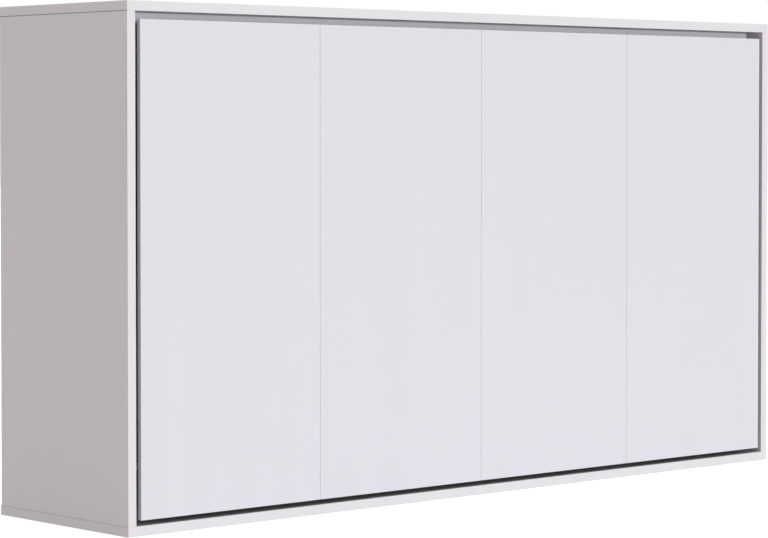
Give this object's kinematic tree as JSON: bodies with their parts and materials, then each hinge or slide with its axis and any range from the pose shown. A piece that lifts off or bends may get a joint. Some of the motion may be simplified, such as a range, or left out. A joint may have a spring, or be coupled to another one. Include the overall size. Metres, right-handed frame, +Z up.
{
  "type": "wall bed",
  "caption": "Fold-down wall bed: a wide shallow white cabinet whose flush front panels hinge down as the underside of a slatted single bed.",
  "frame": {"origin": "on the floor under the middle of the cabinet's outer box", "axes": "+Z up, +X to the right seen from the front, front faces -Y"},
  "size_m": [2.13, 0.487, 1.165],
  "materials": {
    "white_laminate": "matt white coated board with matching edge strip",
    "white_front": "matt white coated board, fine upright grain",
    "back_sheet": "thin white hardboard",
    "white_plastic": "white plastic strip",
    "zinc_screw": "zinc-plated steel",
    "cast_zinc": "cast zinc",
    "beech_dowel": "beech",
    "dark_steel": "anthracite powder coat",
    "black_strut": "glossy black paint",
    "strut_rod": "polished hard chrome",
    "black_rubber": "black rubber",
    "black_plastic": "black plastic",
    "grey_bush": "natural nylon",
    "beech_slat": "clear lacquered beech",
    "mattress_cover": "quilted knitted cover",
    "strap_webbing": "woven strap"
  },
  "bodies": {
    "cabinet": {"side_panel_left": "white_laminate", "side_panel_right": "white_laminate", "top_panel": "white_laminate", "bottom_panel": "white_laminate", "top_stretcher": "white_laminate", "upper_back_rail": "white_laminate", "lower_back_rail": "white_laminate", "back_sheet_1": "back_sheet", "back_sheet_2": "back_sheet", "back_sheet_3": "back_sheet", "back_sheet_4": "back_sheet", "back_joining_strips": "white_plastic", "back_sheet_screws": "zinc_screw", "side_fitting_screws": "zinc_screw", "corner_cam_bolts": "zinc_screw", "pivot_pin_left": "zinc_screw", "pivot_pin_right": "zinc_screw", "corner_cams": "cast_zinc", "wooden_dowels": "beech_dowel", "pivot_plate_left": "dark_steel", "pivot_plate_right": "dark_steel", "strut_bracket_left": "dark_steel", "strut_bracket_right": "dark_steel", "closing_stop_left": "dark_steel", "closing_stop_right": "dark_steel", "stop_buffers": "black_rubber"},
    "bed": {"front_panel_1": "white_front", "front_panel_2": "white_front", "front_panel_3": "white_front", "front_panel_4": "white_front", "front_panel_screws": "zinc_screw", "frame_bolts": "zinc_screw", "long_rail_lower": "dark_steel", "long_rail_upper": "dark_steel", "cross_rail_1": "dark_steel", "cross_rail_2": "dark_steel", "cross_rail_3": "dark_steel", "end_rail_left": "dark_steel", "end_rail_right": "dark_steel", "hinge_plate_left": "dark_steel", "hinge_plate_right": "dark_steel", "leg_mount_left": "dark_steel", "leg_mount_right": "dark_steel", "strap_anchors": "dark_steel", "slat_holders": "black_plastic", "strap_buckles": "black_plastic", "pivot_bush_left": "grey_bush", "pivot_bush_right": "grey_bush", "bed_slats": "beech_slat", "mattress": "mattress_cover", "mattress_strap_left": "strap_webbing", "mattress_strap_right": "strap_webbing"},
    "leg_left": {"leg_left": "dark_steel", "leg_foot_left": "black_plastic"},
    "leg_right": {"leg_right": "dark_steel", "leg_foot_right": "black_plastic"},
    "strut_cylinder_left": {"strut_cylinder_left": "black_strut"},
    "strut_cylinder_right": {"strut_cylinder_right": "black_strut"},
    "strut_rod_left": {"strut_rod_left": "strut_rod"},
    "strut_rod_right": {"strut_rod_right": "strut_rod"}
  },
  "joints": [
    {"name": "bed_fold", "type": "hinge", "parent": "cabinet", "child": "bed", "pos_m": [0, -0.1875, 0.226], "axis": [1, 0, 0], "range_deg": [0, 90], "stiffness_Nm_per_rad": 26, "springref_deg": -165.01},
    {"name": "leg_left_fold", "type": "hinge", "parent": "bed", "child": "leg_left", "pos_m": [-1.0365, -0.1835, 1.04], "axis": [1, 0, 0], "range_deg": [-90, 0]},
    {"name": "strut_left_swing", "type": "hinge", "parent": "cabinet", "child": "strut_cylinder_left", "pos_m": [-1.027, -0.1625, 0.576], "axis": [1, 0, 0], "range_deg": [0, 4.87]},
    {"name": "strut_left_stroke", "type": "slide", "parent": "strut_cylinder_left", "child": "strut_rod_left", "axis": [0, -0.0823, 0.9966], "range_m": [0, 0.13133]},
    {"name": "leg_right_fold", "type": "hinge", "parent": "bed", "child": "leg_right", "pos_m": [1.0365, -0.1835, 1.04], "axis": [1, 0, 0], "range_deg": [-90, 0]},
    {"name": "strut_right_swing", "type": "hinge", "parent": "cabinet", "child": "strut_cylinder_right", "pos_m": [1.027, -0.1625, 0.576], "axis": [1, 0, 0], "range_deg": [0, 4.87]},
    {"name": "strut_right_stroke", "type": "slide", "parent": "strut_cylinder_right", "child": "strut_rod_right", "axis": [0, -0.0823, 0.9966], "range_m": [0, 0.13133]}
  ],
  "couplings": [
    {"joint": "leg_left_fold", "follows": "bed_fold", "ratio": -1},
    {"joint": "strut_left_swing", "follows": "bed_fold", "ratio": 0.054128},
    {"joint": "strut_left_stroke", "follows": "bed_fold", "m_per_rad": 0.083609},
    {"joint": "leg_right_fold", "follows": "bed_fold", "ratio": -1},
    {"joint": "strut_right_swing", "follows": "bed_fold", "ratio": 0.054128},
    {"joint": "strut_right_stroke", "follows": "bed_fold", "m_per_rad": 0.083609}
  ]
}
